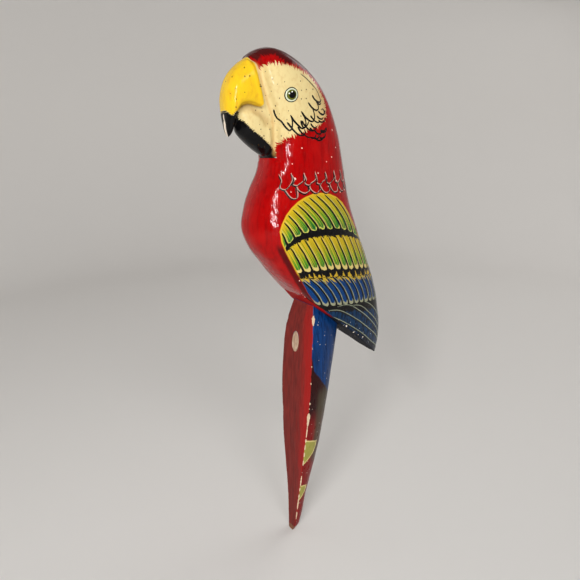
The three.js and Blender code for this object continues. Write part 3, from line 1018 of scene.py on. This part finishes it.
def tail_paint():
    """A dull red front, and sides that run from blue through a dark red band of painted shade to red with
    two olive patches, and painted shade on their back part.
    """
    paint = Paint("painted_tail", TAIL_RED)
    x, y, z = paint.axis("X"), paint.axis("Y"), paint.axis("Z")
    behind = paint.field("behind")
    streaks = paint.noise(1.8, (1, 1, 14))
    soft = paint.noise(5, (1, 1, 2)) * 6 - 3
    paint.cover(TAIL_STREAK, streaks.above(0.55, 0.2) * 0.6)
    # painted shade: a dark red band down the sides, below the body
    paint.cover(TAIL_SHADE, (z + soft * 1.5).between(134, 204, 12))
    bend = (behind * (-1 / 3.5) + 1).maths("MAXIMUM", 0.0) * -10
    edge = z + y * 1.45 + soft * 0.6 + bend
    paint.cover(paint.blend(*TAIL_BLUE, streaks.above(0.5, 0.2)), edge.above(203, 1.2))
    # painted shade: a dark brownish band on the back part of the sides
    back_shade = behind.above(10, 3) * (z + soft).between(82, 160, 6) * edge.below(204, 3)
    paint.cover(TAIL_BACK_SHADE, back_shade * 0.85)
    patch = paint.field("patch") + paint.noise(2.5) * 1.4 - 0.7
    paint.cover(PATCH_RIM, patch.above(0, 0.3))
    paint.cover(paint.blend(*PATCH, paint.noise(6)), patch.above(1.3, 0.4))
    worn = paint.noise(1.4, (1, 1, 30))
    front = paint.field("front").above(0.5, 0.2)
    paint.cover(paint.blend(*FRONT_RED, worn.above(0.5, 0.2)), front)
    bright = (x * 0.05 + paint.noise(9, (0.5, 1, 4))).above(1.0, 0.45)
    paint.cover(FRONT_BRIGHT, front * bright * 0.8)
    chip = paint.field("chip").above(0, 0.05)
    paint.cover(paint.blend(*TAIL_CHIPPED, paint.noise(0.8, (1, 1, 8))), chip)
    paint.cover(paint.blend(*TAIL_TIP, worn), (z + paint.noise(3) * 5).below(6.5, 0.8))
    paint.cover(TAIL_DOT, paint.dots(y, z, 9, 0.5, 0.5) * front.flip())
    rough = paint.noise(4, (1, 1, 4)) * 0.25 + front * 0.25 + chip * 0.25 + 0.18
    height = streaks * 0.6 + worn * 0.5 - chip * 0.2
    return paint.finish(rough, height, 0.16, specular=0.14)


def bare_wood():
    """Light wood with fine grain, for the peg, the dowels and the hollowed inside."""
    paint = Paint("bare_wood", WOOD)
    grain = paint.noise(1.1, (1, 1, 16), 5.0)
    paint.cover(WOOD_GRAIN, grain.above(0.54, 0.14) * 0.7)
    paint.cover(WOOD_CLOUD, paint.noise(7).above(0.58, 0.15) * 0.5)
    return paint.finish(grain * 0.3 + 0.42, grain, 0.15, specular=0.3)


def seed_skin():
    paint = Paint("seed_skin", SEED)
    mottle = paint.noise(0.9)
    paint.cover(SEED_MOTTLE, mottle.above(0.55, 0.12) * 0.8)
    return paint.finish(mottle * 0.3 + 0.4, mottle, 0.08)


def line_paint(name, colour, worn):
    """Thick paint of a drawn line, a little streaky."""
    paint = Paint(name, colour)
    streaks = paint.noise(0.8, (1, 1, 3))
    paint.cover(worn, streaks.above(0.6, 0.15) * 0.6)
    return paint.finish(streaks * 0.25 + 0.15, streaks, 0.05, specular=0.16)


def eye_paint():
    paint = Paint("painted_eye", BLACK_PAINT)
    ring, pupil = paint.field("ring"), paint.field("pupil")
    pale = paint.blend(*EYE_WHITE, paint.noise(1.2))
    paint.cover(pale, ring.between(3.45, 4.35, 0.1))
    iris = paint.blend(*IRIS, paint.noise(0.9))
    paint.cover(iris, ring.below(3.15, 0.1) * pupil.above(2.45, 0.12))
    paint.cover(GLINT, paint.field("glint").below(0.5, 0.1))
    return paint.finish(paint.noise(0.8) * 0.1 + 0.1, paint.noise(0.5), 0.02)


# ---- Painted lines, raised a little as thick paint is ----
LINE_HEIGHT = 0.16
LINE_SINK = 0.3  # how far a line's underside reaches into the wood
LINE_SECTION = ((-1, -1), (-1, 0.15), (-0.6, 0.9), (0.6, 0.9), (1, 0.15), (1, -1))


def line_body(places, normals, widths):
    """A flat bead along the places, half a width to each side of them."""
    ahead = np.gradient(places, axis=0)
    across = np.cross(ahead, normals)
    across /= np.linalg.norm(across, axis=1, keepdims=True) + 1e-9
    rings = []
    for out, up in LINE_SECTION:
        lift = up * (LINE_HEIGHT if up > 0 else LINE_SINK)
        rings.append(places + across * (out * widths / 2)[:, None] + normals * lift)
    return loft(np.stack(rings[::-1], 1))


def found_at(hits):
    """The points, in millimetres, and the normals of what a tree found."""
    return np.array([hit[0] for hit in hits]) / MM, np.array([hit[1] for hit in hits])


class Lines:
    """Gathers drawn lines by side and colour, laid on the surface of the bird."""

    STEP = 0.7

    def __init__(self, bird):
        self.tree = BVHTree.FromObject(bird, bpy.context.evaluated_depsgraph_get())
        self.bodies = {}

    def resample(self, points):
        points = np.array(points, float)
        length = np.linalg.norm(np.diff(points, axis=0), axis=1).sum()
        return through(points, np.linspace(0, 1, max(6, int(length / self.STEP))))

    def nearest(self, points):
        """The surface's own points and normals nearest to these."""
        return found_at([self.tree.find_nearest(Vector(p * MM)) for p in points])

    def from_side(self, side, places):
        """The surface's points and normals seen from the left or right at these (y, z) places."""
        ahead = Vector((-side, 0, 0))
        starts = [Vector((side * 0.1, y * MM, z * MM)) for y, z in places]
        return found_at([self.tree.ray_cast(start, ahead) for start in starts])

    def draw(self, colour, side, places, normals, widths):
        """Adds a line whose width runs evenly from the first of the widths to the second."""
        share = np.linspace(0, 1, len(places))
        rounding = np.sqrt(np.clip(np.minimum(share, 1 - share) * 14, 0.1, 1))
        along = (widths[0] + (widths[1] - widths[0]) * share) * rounding
        smooth = normals.copy()
        for _ in range(3):
            smooth[1:-1] = (smooth[:-2] + smooth[1:-1] * 2 + smooth[2:]) / 4
        smooth /= np.linalg.norm(smooth, axis=1, keepdims=True)
        self.bodies.setdefault((colour, side), []).append(line_body(places, smooth, along))

    def on_wing(self, colour, points, widths, wobble=0.12):
        """Draws a line of (r, z) points on both wings."""
        for side in (1, -1):
            points_here = np.array(points) + RNG.normal(0, wobble, (len(points), 2))
            r, z = self.resample(points_here).T
            wrapped = chart.wrap(r, z) * (side, 1, 1)
            self.draw(colour, side, *self.nearest(wrapped), widths)

    def on_face(self, colour, points, widths):
        """Draws a line of (y, z) points on both sides of the head."""
        for side in (1, -1):
            places = self.resample(points)
            self.draw(colour, side, *self.from_side(side, places), widths)


def feather_lines(lines):
    """The black line between feathers and the pale one beside it, down each row."""
    tops = [WING_TOP, ROW_ENDS[0], ROW_ENDS[1]]
    for row, pale in enumerate(("line_cream", "line_cream", "line_pale")):
        for number in range(1, 16):
            for colour, shift, widths in (("line_black", 0.0, (1.0, 2.1)), (pale, -0.17, (0.55, 0.9))):
                z = np.linspace(345, 200, 1160)
                r = feather_edge(row, number + shift, z)
                low = curve(ROW_ENDS[row], r)
                top = np.maximum(curve(tops[row], r), low + 3)
                reach = 1 - TIP_STARTS[row] - (0.04 if shift == 0 else -0.02)
                kept = (z < top - (1.2, 0.5, 0.5)[row]) & (z > low + (top - low) * reach)
                kept &= (r > 1) & (r < curve(WING_FRONT[::-1], z) - 1.4)
                line = np.stack([r, z], 1)[kept]
                if len(line) > 40:
                    lines.on_wing(colour, line[np.linspace(0, len(line) - 1, 7).astype(int)], widths)


def primary_lines(lines):
    """Long pale lines that sweep back to the wing tips."""
    for points in (
        [(58, 237), (46, 233), (35, 224), (21, 210), (13, 200)],
        [(76, 240), (62, 238), (44, 225), (30, 212), (18, 199), (11, 189)],
        [(86, 239), (74, 236), (54, 222), (34, 205), (16, 190), (9, 183)],
        [(82, 231.5), (70, 223), (48, 206), (28, 190), (12, 179), (7, 175)],
        [(40, 236), (30, 230), (18, 218), (11, 209)],
    ):
        lines.on_wing("line_black", [(r + 1.0, z - 0.8) for r, z in points], (1.2, 0.9))
        lines.on_wing("line_pale", points, (0.6, 0.8))


SCALE_START, SCALE_WIDTH = 3, 9.67  # r of a cusp, and how far on the next one is
CUSP_Z, SCALE_Z = 355.5, 346.5  # heights of the upper row's cusps and of the bottoms of its scales
LOWER_ROW = (339.5, 339.5, 339.5, 339.5, 339, 339, 339.5, 340, 340.5, 337)  # the lower row's bottoms


def scallops(lines):
    """Two rows of scales, pale lines with black ones beside them, above the wing."""
    cusp_z, low_z = CUSP_Z, SCALE_Z
    for number in range(-1, 9):
        right = SCALE_START + SCALE_WIDTH * number
        left = SCALE_START + SCALE_WIDTH * (number + 1)
        drop = 2.5 * max(0, number - 7)
        middle = (right + left) / 2 + 0.05 * left
        upper = [
            (left, cusp_z - drop * 0.3), (left - 0.5, cusp_z - 5), (middle + 2.6, low_z + 1.2 - drop),
            (middle, low_z - drop), (middle - 2.6, low_z + 1.2 - drop), (right + 0.8, cusp_z - 5),
            (right, cusp_z),
        ]
        start, end, low = middle, middle - SCALE_WIDTH, LOWER_ROW[number + 1]
        centre = (start + end) / 2
        lower = [
            (start, low_z - drop), (start - 0.3, low_z - 3), (centre + 2.4, low + 0.9), (centre, low),
            (centre - 2.4, low + 0.9), (end + 0.3, low_z - 3), (end, low_z),
        ]
        for points in (upper, lower):
            if points[-1][0] < 0:
                continue
            lines.on_wing("line_black", [(r + 0.8, z - 0.7) for r, z in points], (1.3, 0.8), 0.2)
            lines.on_wing("line_white", points, (0.65, 0.65), 0.2)


FACE_STROKES = [
    [(-15.2, 400.7), (-14, 397), (-12.2, 393.5), (-10, 390), (-8, 387.6), (-6, 386), (-5, 386.7),
     (-4.4, 389), (-4.5, 391.5), (-5, 394), (-6.1, 396.6)],
    [(-8, 391.6), (-6.6, 390), (-4.8, 387.7), (-2.7, 385.3), (0, 383), (2.4, 382.2), (4.4, 382.7),
     (5.2, 384.3), (5, 386.7)],
    [(-6.1, 396.6), (-4.4, 393.7), (-2, 391), (0.2, 389), (2.3, 387.3), (4, 387.3), (5.3, 388.3),
     (5.8, 390.5), (5.4, 392.6), (4.2, 395.2), (1.6, 399)],
    [(1.6, 399), (4.2, 395.7), (7, 393.6), (10.2, 392), (12.3, 392.3), (13.3, 394), (13.2, 396.3),
     (12.6, 398.7), (11.2, 401)],
    [(2.4, 392.6), (3.7, 390.5), (5.6, 388.6), (8.2, 386.4), (11.2, 385.3), (13, 385.8)],
    [(-0.6, 388.4), (1.2, 385.7), (3, 383.8), (4.7, 382.7), (7.2, 381), (9.7, 380.7)],
    [(7.3, 405), (10, 402.3), (12.6, 400.5), (15.6, 399.8), (17.2, 401), (17, 403), (14.6, 406.6)],
    [(9.5, 396), (11.2, 394.4), (13.7, 392.3), (16.6, 391.2), (18.5, 391.8)],
    [(15.6, 396), (17.8, 394.2), (20.6, 393.7), (22, 395)],
    [(17, 399.3), (19, 397.7), (21.5, 396.7), (23.4, 397.8), (23, 400), (21, 401.2)],
    [(9.8, 390.7), (11.6, 388.5), (14, 387.5), (15.6, 388.6)],
    [(14.6, 406.6), (16.5, 404.6), (19, 404), (20.5, 405.2)],
    [(9.7, 380.7), (12.7, 380), (15.9, 379.8), (17.4, 381), (17, 383)],
    [(17.7, 380.3), (21.2, 380), (23.6, 381.6), (23.4, 383.8)],
    [(19.2, 386), (21, 385.2), (23.5, 385.8), (24.5, 387.7)],
    [(13.5, 385.5), (15.5, 383.6), (18, 383), (20, 384), (20.3, 386)],
    [(1.6, 392.8), (2.6, 389.5), (4.2, 387.8), (6.9, 389.4), (8.2, 392.2)],
    [(8.9, 387.7), (11, 386), (13.5, 385.7), (14.7, 387.7)],
    [(9.5, 381), (11.5, 380.1), (13.8, 380.9), (14.2, 382.6)],
    [(13.7, 380.3), (16.6, 378.5), (20.6, 379.3), (21.9, 381.3)],
    [(18.5, 385.4), (21.7, 384.2), (24.8, 385.3), (25.4, 387.6)],
    [(17.1, 392.8), (19.4, 391.6), (22.9, 392.2), (24.5, 394.5)],
    [(19.7, 397.8), (21.8, 396.8), (23.8, 397.9), (24.6, 400.2)],
    [(11.1, 410), (13.3, 407.4), (17.1, 405.6), (19.3, 405.7), (21, 407.4)],
]
BROW_ARC = [(2, 424), (7, 421), (11, 418), (16, 414), (19, 409), (20, 406)]


def face_lines(lines):
    for number, points in enumerate(FACE_STROKES):
        lines.on_face("line_black", points, (1.6, 0.9) if number < 5 else (1.5, 0.9))
    lines.on_face("line_black", FACE_STROKES[0][:3], (1.7, 1.1))
    lines.on_face("line_black", BROW_ARC, (0.8, 0.5))


def eye(lines, side, name, paint):
    """A domed disc of paint with the rings of an eye."""
    spokes, steps = 56, 16
    angle = around(spokes)
    rings, fields = [], []
    normal = lines.from_side(side, [EYE])[1]
    levels = [(0.05, -LINE_SINK)] + [(EYE_RADIUS * k / 4, -LINE_SINK) for k in (1, 2, 3, 4)]
    for k in range(steps, -1, -1):
        share = max(k / steps, 0.01)
        levels.append((EYE_RADIUS * share, EYE_RIM + EYE_DOME * math.sqrt(max(0, 1 - share**2))))
    for radius, lift in levels:
        places = np.array(EYE) + radius * np.stack([np.cos(angle), np.sin(angle)], 1)
        rings.append(lines.from_side(side, places)[0] + normal[0] * lift)
        fields.append(places - EYE)
    rings, fields = np.array(rings), np.concatenate(fields)
    piece = new_piece(name, *loft(rings[:, ::side]), [paint])
    fields = fields.reshape(len(levels), spokes, 2)[:, ::side].reshape(-1, 2)
    set_field(piece, "ring", np.hypot(*fields.T))
    set_field(piece, "pupil", np.hypot(*(fields - PUPIL).T))
    glints = [np.hypot(*(fields - place).T) for place in GLINTS]
    set_field(piece, "glint", np.minimum(*glints))
    return piece


# ---- The tail ----
CORNER = 0.5  # how much the edges of its flat front are eased
TAIL_PATCHES = [  # (y, z) outlines of the two olive patches seen from the side
    [(2, 114.5), (20.5, 105), (20, 99), (17, 93.5), (12, 88.5), (6, 84.5), (2, 83)],
    [(0, 59), (11.5, 54.5), (11.5, 50), (9, 45), (5, 40), (0, 38)],
]


def tail_rings(rows, columns, across_front):
    """Rings of the blade: a rounded back, and a flat front with its corners just eased."""
    z = np.linspace(0, TAIL[-1][0], rows)
    half_width, depth = tail_at(2, z), tail_at(3, z)
    across, along = superellipse(math.pi / 2 + np.linspace(0, 1, columns) * math.pi, TAIL_BOXINESS)
    x = half_width[:, None] * across
    y = tail_front(z)[:, None] + np.maximum(depth[:, None] * along, CORNER)
    flat = np.sin(np.linspace(-1, 1, across_front) * math.pi / 2) * (half_width[:, None] - CORNER)
    x = np.concatenate([x, flat], 1)
    y = np.concatenate([y, np.broadcast_to(tail_front(z)[:, None], flat.shape)], 1)
    return np.stack([x, y, np.broadcast_to(z[:, None], x.shape)], -1)


def cut_by_underside(piece, gap):
    """Takes away what is above the flat underside of the bird's body, and closes the cut."""
    (y0, z0), (y1, z1) = FRONT[0], BACK[0]
    square = Vector((0, z0 - z1, y1 - y0)).normalized()
    cut_flat(piece, Vector((0, y0 * MM, z0 * MM)) - square * gap * MM, square)


def tail_chips(points):
    """Above 0 inside a chip down the front edges of the tail."""
    x, y, z = points.T
    from_edge = np.hypot(tail_at(2, z) - np.abs(x) - 0.3, np.maximum(y - tail_front(z) - 0.3, 0)) * 0.9
    uneven, scale = np.where(x > 0, 0, 9), np.where(x > 0, 1, 0.45)
    best = np.full(len(points), -9.0)
    for middle, height, width in TAIL_CHIPS:
        off = np.hypot((z - middle + uneven) / height, from_edge / width / scale)
        best = np.maximum(best, 1 - off)
    return best + 0.22 * ripple(points, 1.8, 9) - 0.05


def tail_piece(paint, wood):
    tail = new_piece("tail_blade", *loft(tail_rings(*TAIL_GRID)), [paint, wood])
    points = points_of(tail)
    dips = 0.15 + 0.04 * ripple(points * (1, 1, 0.12), 3, 11) + 0.06 * ripple(points, 12, 12)
    dips += CHIP_DEPTH * smoothstep(tail_chips(points), 0, 0.4)
    press_in(tail, dips)
    cut_by_underside(tail, JOINT_GAP)
    combine(tail, new_piece("tenon", *box_body(*TENON), [wood]), "UNION")
    start, end, radius = peg_line()
    hole = new_piece("peg_hole", *rod_body(start, end, radius + PEG_GAPS[0]), [wood])
    combine(tail, hole, "DIFFERENCE")
    points = points_of(tail)
    behind = points[:, 1] - tail_front(points[:, 2])
    facing = -normals_of(tail)[:, 1]
    set_field(tail, "behind", behind)
    set_field(tail, "front", smoothstep(facing, 0.5, 0.75) * (behind < 1.2))
    set_field(tail, "chip", tail_chips(points))
    patches = [measure(points[:, 1:], outline, closed=True)[0] for outline in TAIL_PATCHES]
    set_field(tail, "patch", np.maximum(*patches))
    return tail


def peg_piece(wood):
    """The peg through the tail's root, trimmed level with the tail's front."""
    start, end, radius = peg_line()
    peg = new_piece("peg", *rod_body(start, end, radius - PEG_TRIM, 64), [wood])
    slope = float(tail_front(PEG_HEIGHT + 3) - tail_front(PEG_HEIGHT - 3)) / 6
    place = Vector((0, float(tail_front(PEG_HEIGHT)) * MM, PEG_HEIGHT * MM))
    cut_flat(peg, place, Vector((0, -1, slope)).normalized())
    remesh(peg, PEG_VOXEL)
    press_in(peg, 0.06 + 0.1 * ripple(points_of(peg), 4, 15))
    return peg


# ---- Seeds ----
def seed_piece(number, paint):
    """A dried seed with a wrinkled skin and a scar at one end, inside its CAD seed."""
    low, high = (np.array(corner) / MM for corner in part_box(f"seed_{number}"))
    middle, half = (low + high) / 2, (high - low) / 2
    mesh = bmesh.new()
    bmesh.ops.create_icosphere(mesh, subdivisions=4, radius=1)
    mesh.verts.index_update()
    ball = np.array([v.co for v in mesh.verts])
    faces = [[v.index for v in face.verts] for face in mesh.faces]
    mesh.free()
    scar = 0.1 * np.exp(-((1 - ball[:, 0]) / 0.06))
    wrinkles = 0.93 + 0.04 * ripple(ball, 0.7, 100 + number) - scar
    return new_piece(f"dried_seed_{number}", middle + ball * half * wrinkles[:, None], faces, [paint])


# ---- Putting it together ----
BODY = "carved_body"
SHARP_ANGLE = math.radians(40)  # edges that turn by more than this stay sharp


def place_piece(piece, body, replaces=()):
    shade_smooth(piece)
    piece.data.set_sharp_from_angle(angle=SHARP_ANGLE)
    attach(piece, body)
    if replaces:
        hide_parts(*replaces)


def build():
    wood, skin = bare_wood(), seed_skin()
    bird = carved_bird()
    lines = Lines(bird)
    feather_lines(lines)
    primary_lines(lines)
    scallops(lines)
    face_lines(lines)
    paints = {name: line_paint(name, *colours) for name, colours in LINE_COLOURS.items()}
    coats = (carving_paint(), wood, underside_red_and_shade())
    eyes = eye_paint()
    for side, word in ((1, "left"), (-1, "right")):
        half = half_of(bird, side, f"carving_{word}", coats)
        paint_fields(half)
        place_piece(half, BODY, [f"shell_{word}"])
        place_piece(eye(lines, side, f"eye_{word}", eyes), BODY)
        for colour, paint in paints.items():
            bodies = lines.bodies[(colour, side)]
            piece = new_piece(f"{colour}_{word}", *joined(bodies), [paint])
            place_piece(piece, BODY)
    bpy.data.objects.remove(bird)
    place_piece(tail_piece(tail_paint(), wood), BODY, ["tail_handle"])
    place_piece(peg_piece(wood), BODY, ["tail_peg"])
    for name in DOWELS:
        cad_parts[name].material_slots[0].material = wood
    for number in range(1, 13):
        place_piece(seed_piece(number, skin), f"seed_{number}_body", [f"seed_{number}"])


# ---- Stage, light and camera ----
CAMERA_PLACE = (318.5, -211.9, 378.0)
CAMERA_AIM = (19.4, -7.8, 262.7)
CAMERA_ROLL = -1.65
CAMERA_LENS = 28.86


def camera():
    data = bpy.data.cameras.new("camera")
    data.lens = CAMERA_LENS
    data.sensor_width = 36
    data.clip_start = 0.01
    piece = in_scene("camera", data)
    place, aim = Vector(CAMERA_PLACE) * MM, Vector(CAMERA_AIM) * MM
    piece.location = place
    roll = Quaternion((0, 0, 1), math.radians(CAMERA_ROLL))
    piece.rotation_mode = "QUATERNION"
    piece.rotation_quaternion = (aim - place).to_track_quat("-Z", "Y") @ roll
    bpy.context.scene.camera = piece


def floor():
    """A round pale floor that curves up into a wall all round."""
    radius, bend, top = 1600, 500, 2400
    flat, steps = radius - bend, 12
    profile = [(0.1, 0), (flat, 0)]
    for k in range(1, steps + 1):
        angle = k / steps * math.pi / 2
        profile.append((flat + bend * math.sin(angle), bend - bend * math.cos(angle)))
    profile.append((radius, top))
    turn = around(96)
    rings = [np.stack([d * np.cos(turn), d * np.sin(turn), turn * 0 + z], 1) for d, z in profile]
    points, faces = loft(np.array(rings))
    paint = Paint("pale_floor", FLOOR)
    behind = paint.axis("X") * -0.787 + paint.axis("Y") * 0.537
    paint.cover(FLOOR_BEHIND, behind.above(-500, 700))
    material = paint.finish(paint.noise(200) * 0.1 + 0.75, paint.noise(3), 0.05)
    piece = new_piece("floor", points, faces[:-2], [material])  # without the loft's two end caps
    shade_smooth(piece)


MIDDLE = (0, 0.02, 0.26)
LIGHTS = [  # name, place and aim in metres, width, height, watts, lean in degrees
    ("key", (0.95, -0.12, 1.15), MIDDLE, 0.4, 0.4, 2.5, 0),
    ("window", (0.85, -0.87, 0.66), (0, 0, 0.33), 0.03, 1.2, 18, 34),
    ("fill", (-1.1, -0.6, 0.8), MIDDLE, 0.9, 0.9, 0.5, 0),
    ("back", (-0.1, 1.2, 1.2), MIDDLE, 1.0, 0.8, 5, 0),
]
SKY = (0.95, 0.96, 1, 1)
SKY_STRENGTH = 0.16


def soft_light(name, place, aim, width, height, watts, lean):
    """An area light, turned about its beam by lean, its top to the left as the light faces."""
    data = bpy.data.lights.new(name, "AREA")
    data.shape = "RECTANGLE"
    data.size, data.size_y = width, height
    data.energy = watts
    piece = in_scene(name, data)
    piece.location = place
    piece.rotation_mode = "QUATERNION"
    turn = Quaternion((0, 0, 1), math.radians(lean))
    piece.rotation_quaternion = (Vector(aim) - Vector(place)).to_track_quat("-Z", "Y") @ turn


def lights():
    for light in LIGHTS:
        soft_light(*light)
    world = bpy.data.worlds.new("world")
    world.use_nodes = True
    feed(world.node_tree.nodes["Background"], {"Color": SKY, "Strength": SKY_STRENGTH})
    bpy.context.scene.world = world
    bpy.context.scene.view_settings.view_transform = "Standard"


camera()
floor()
lights()
build()
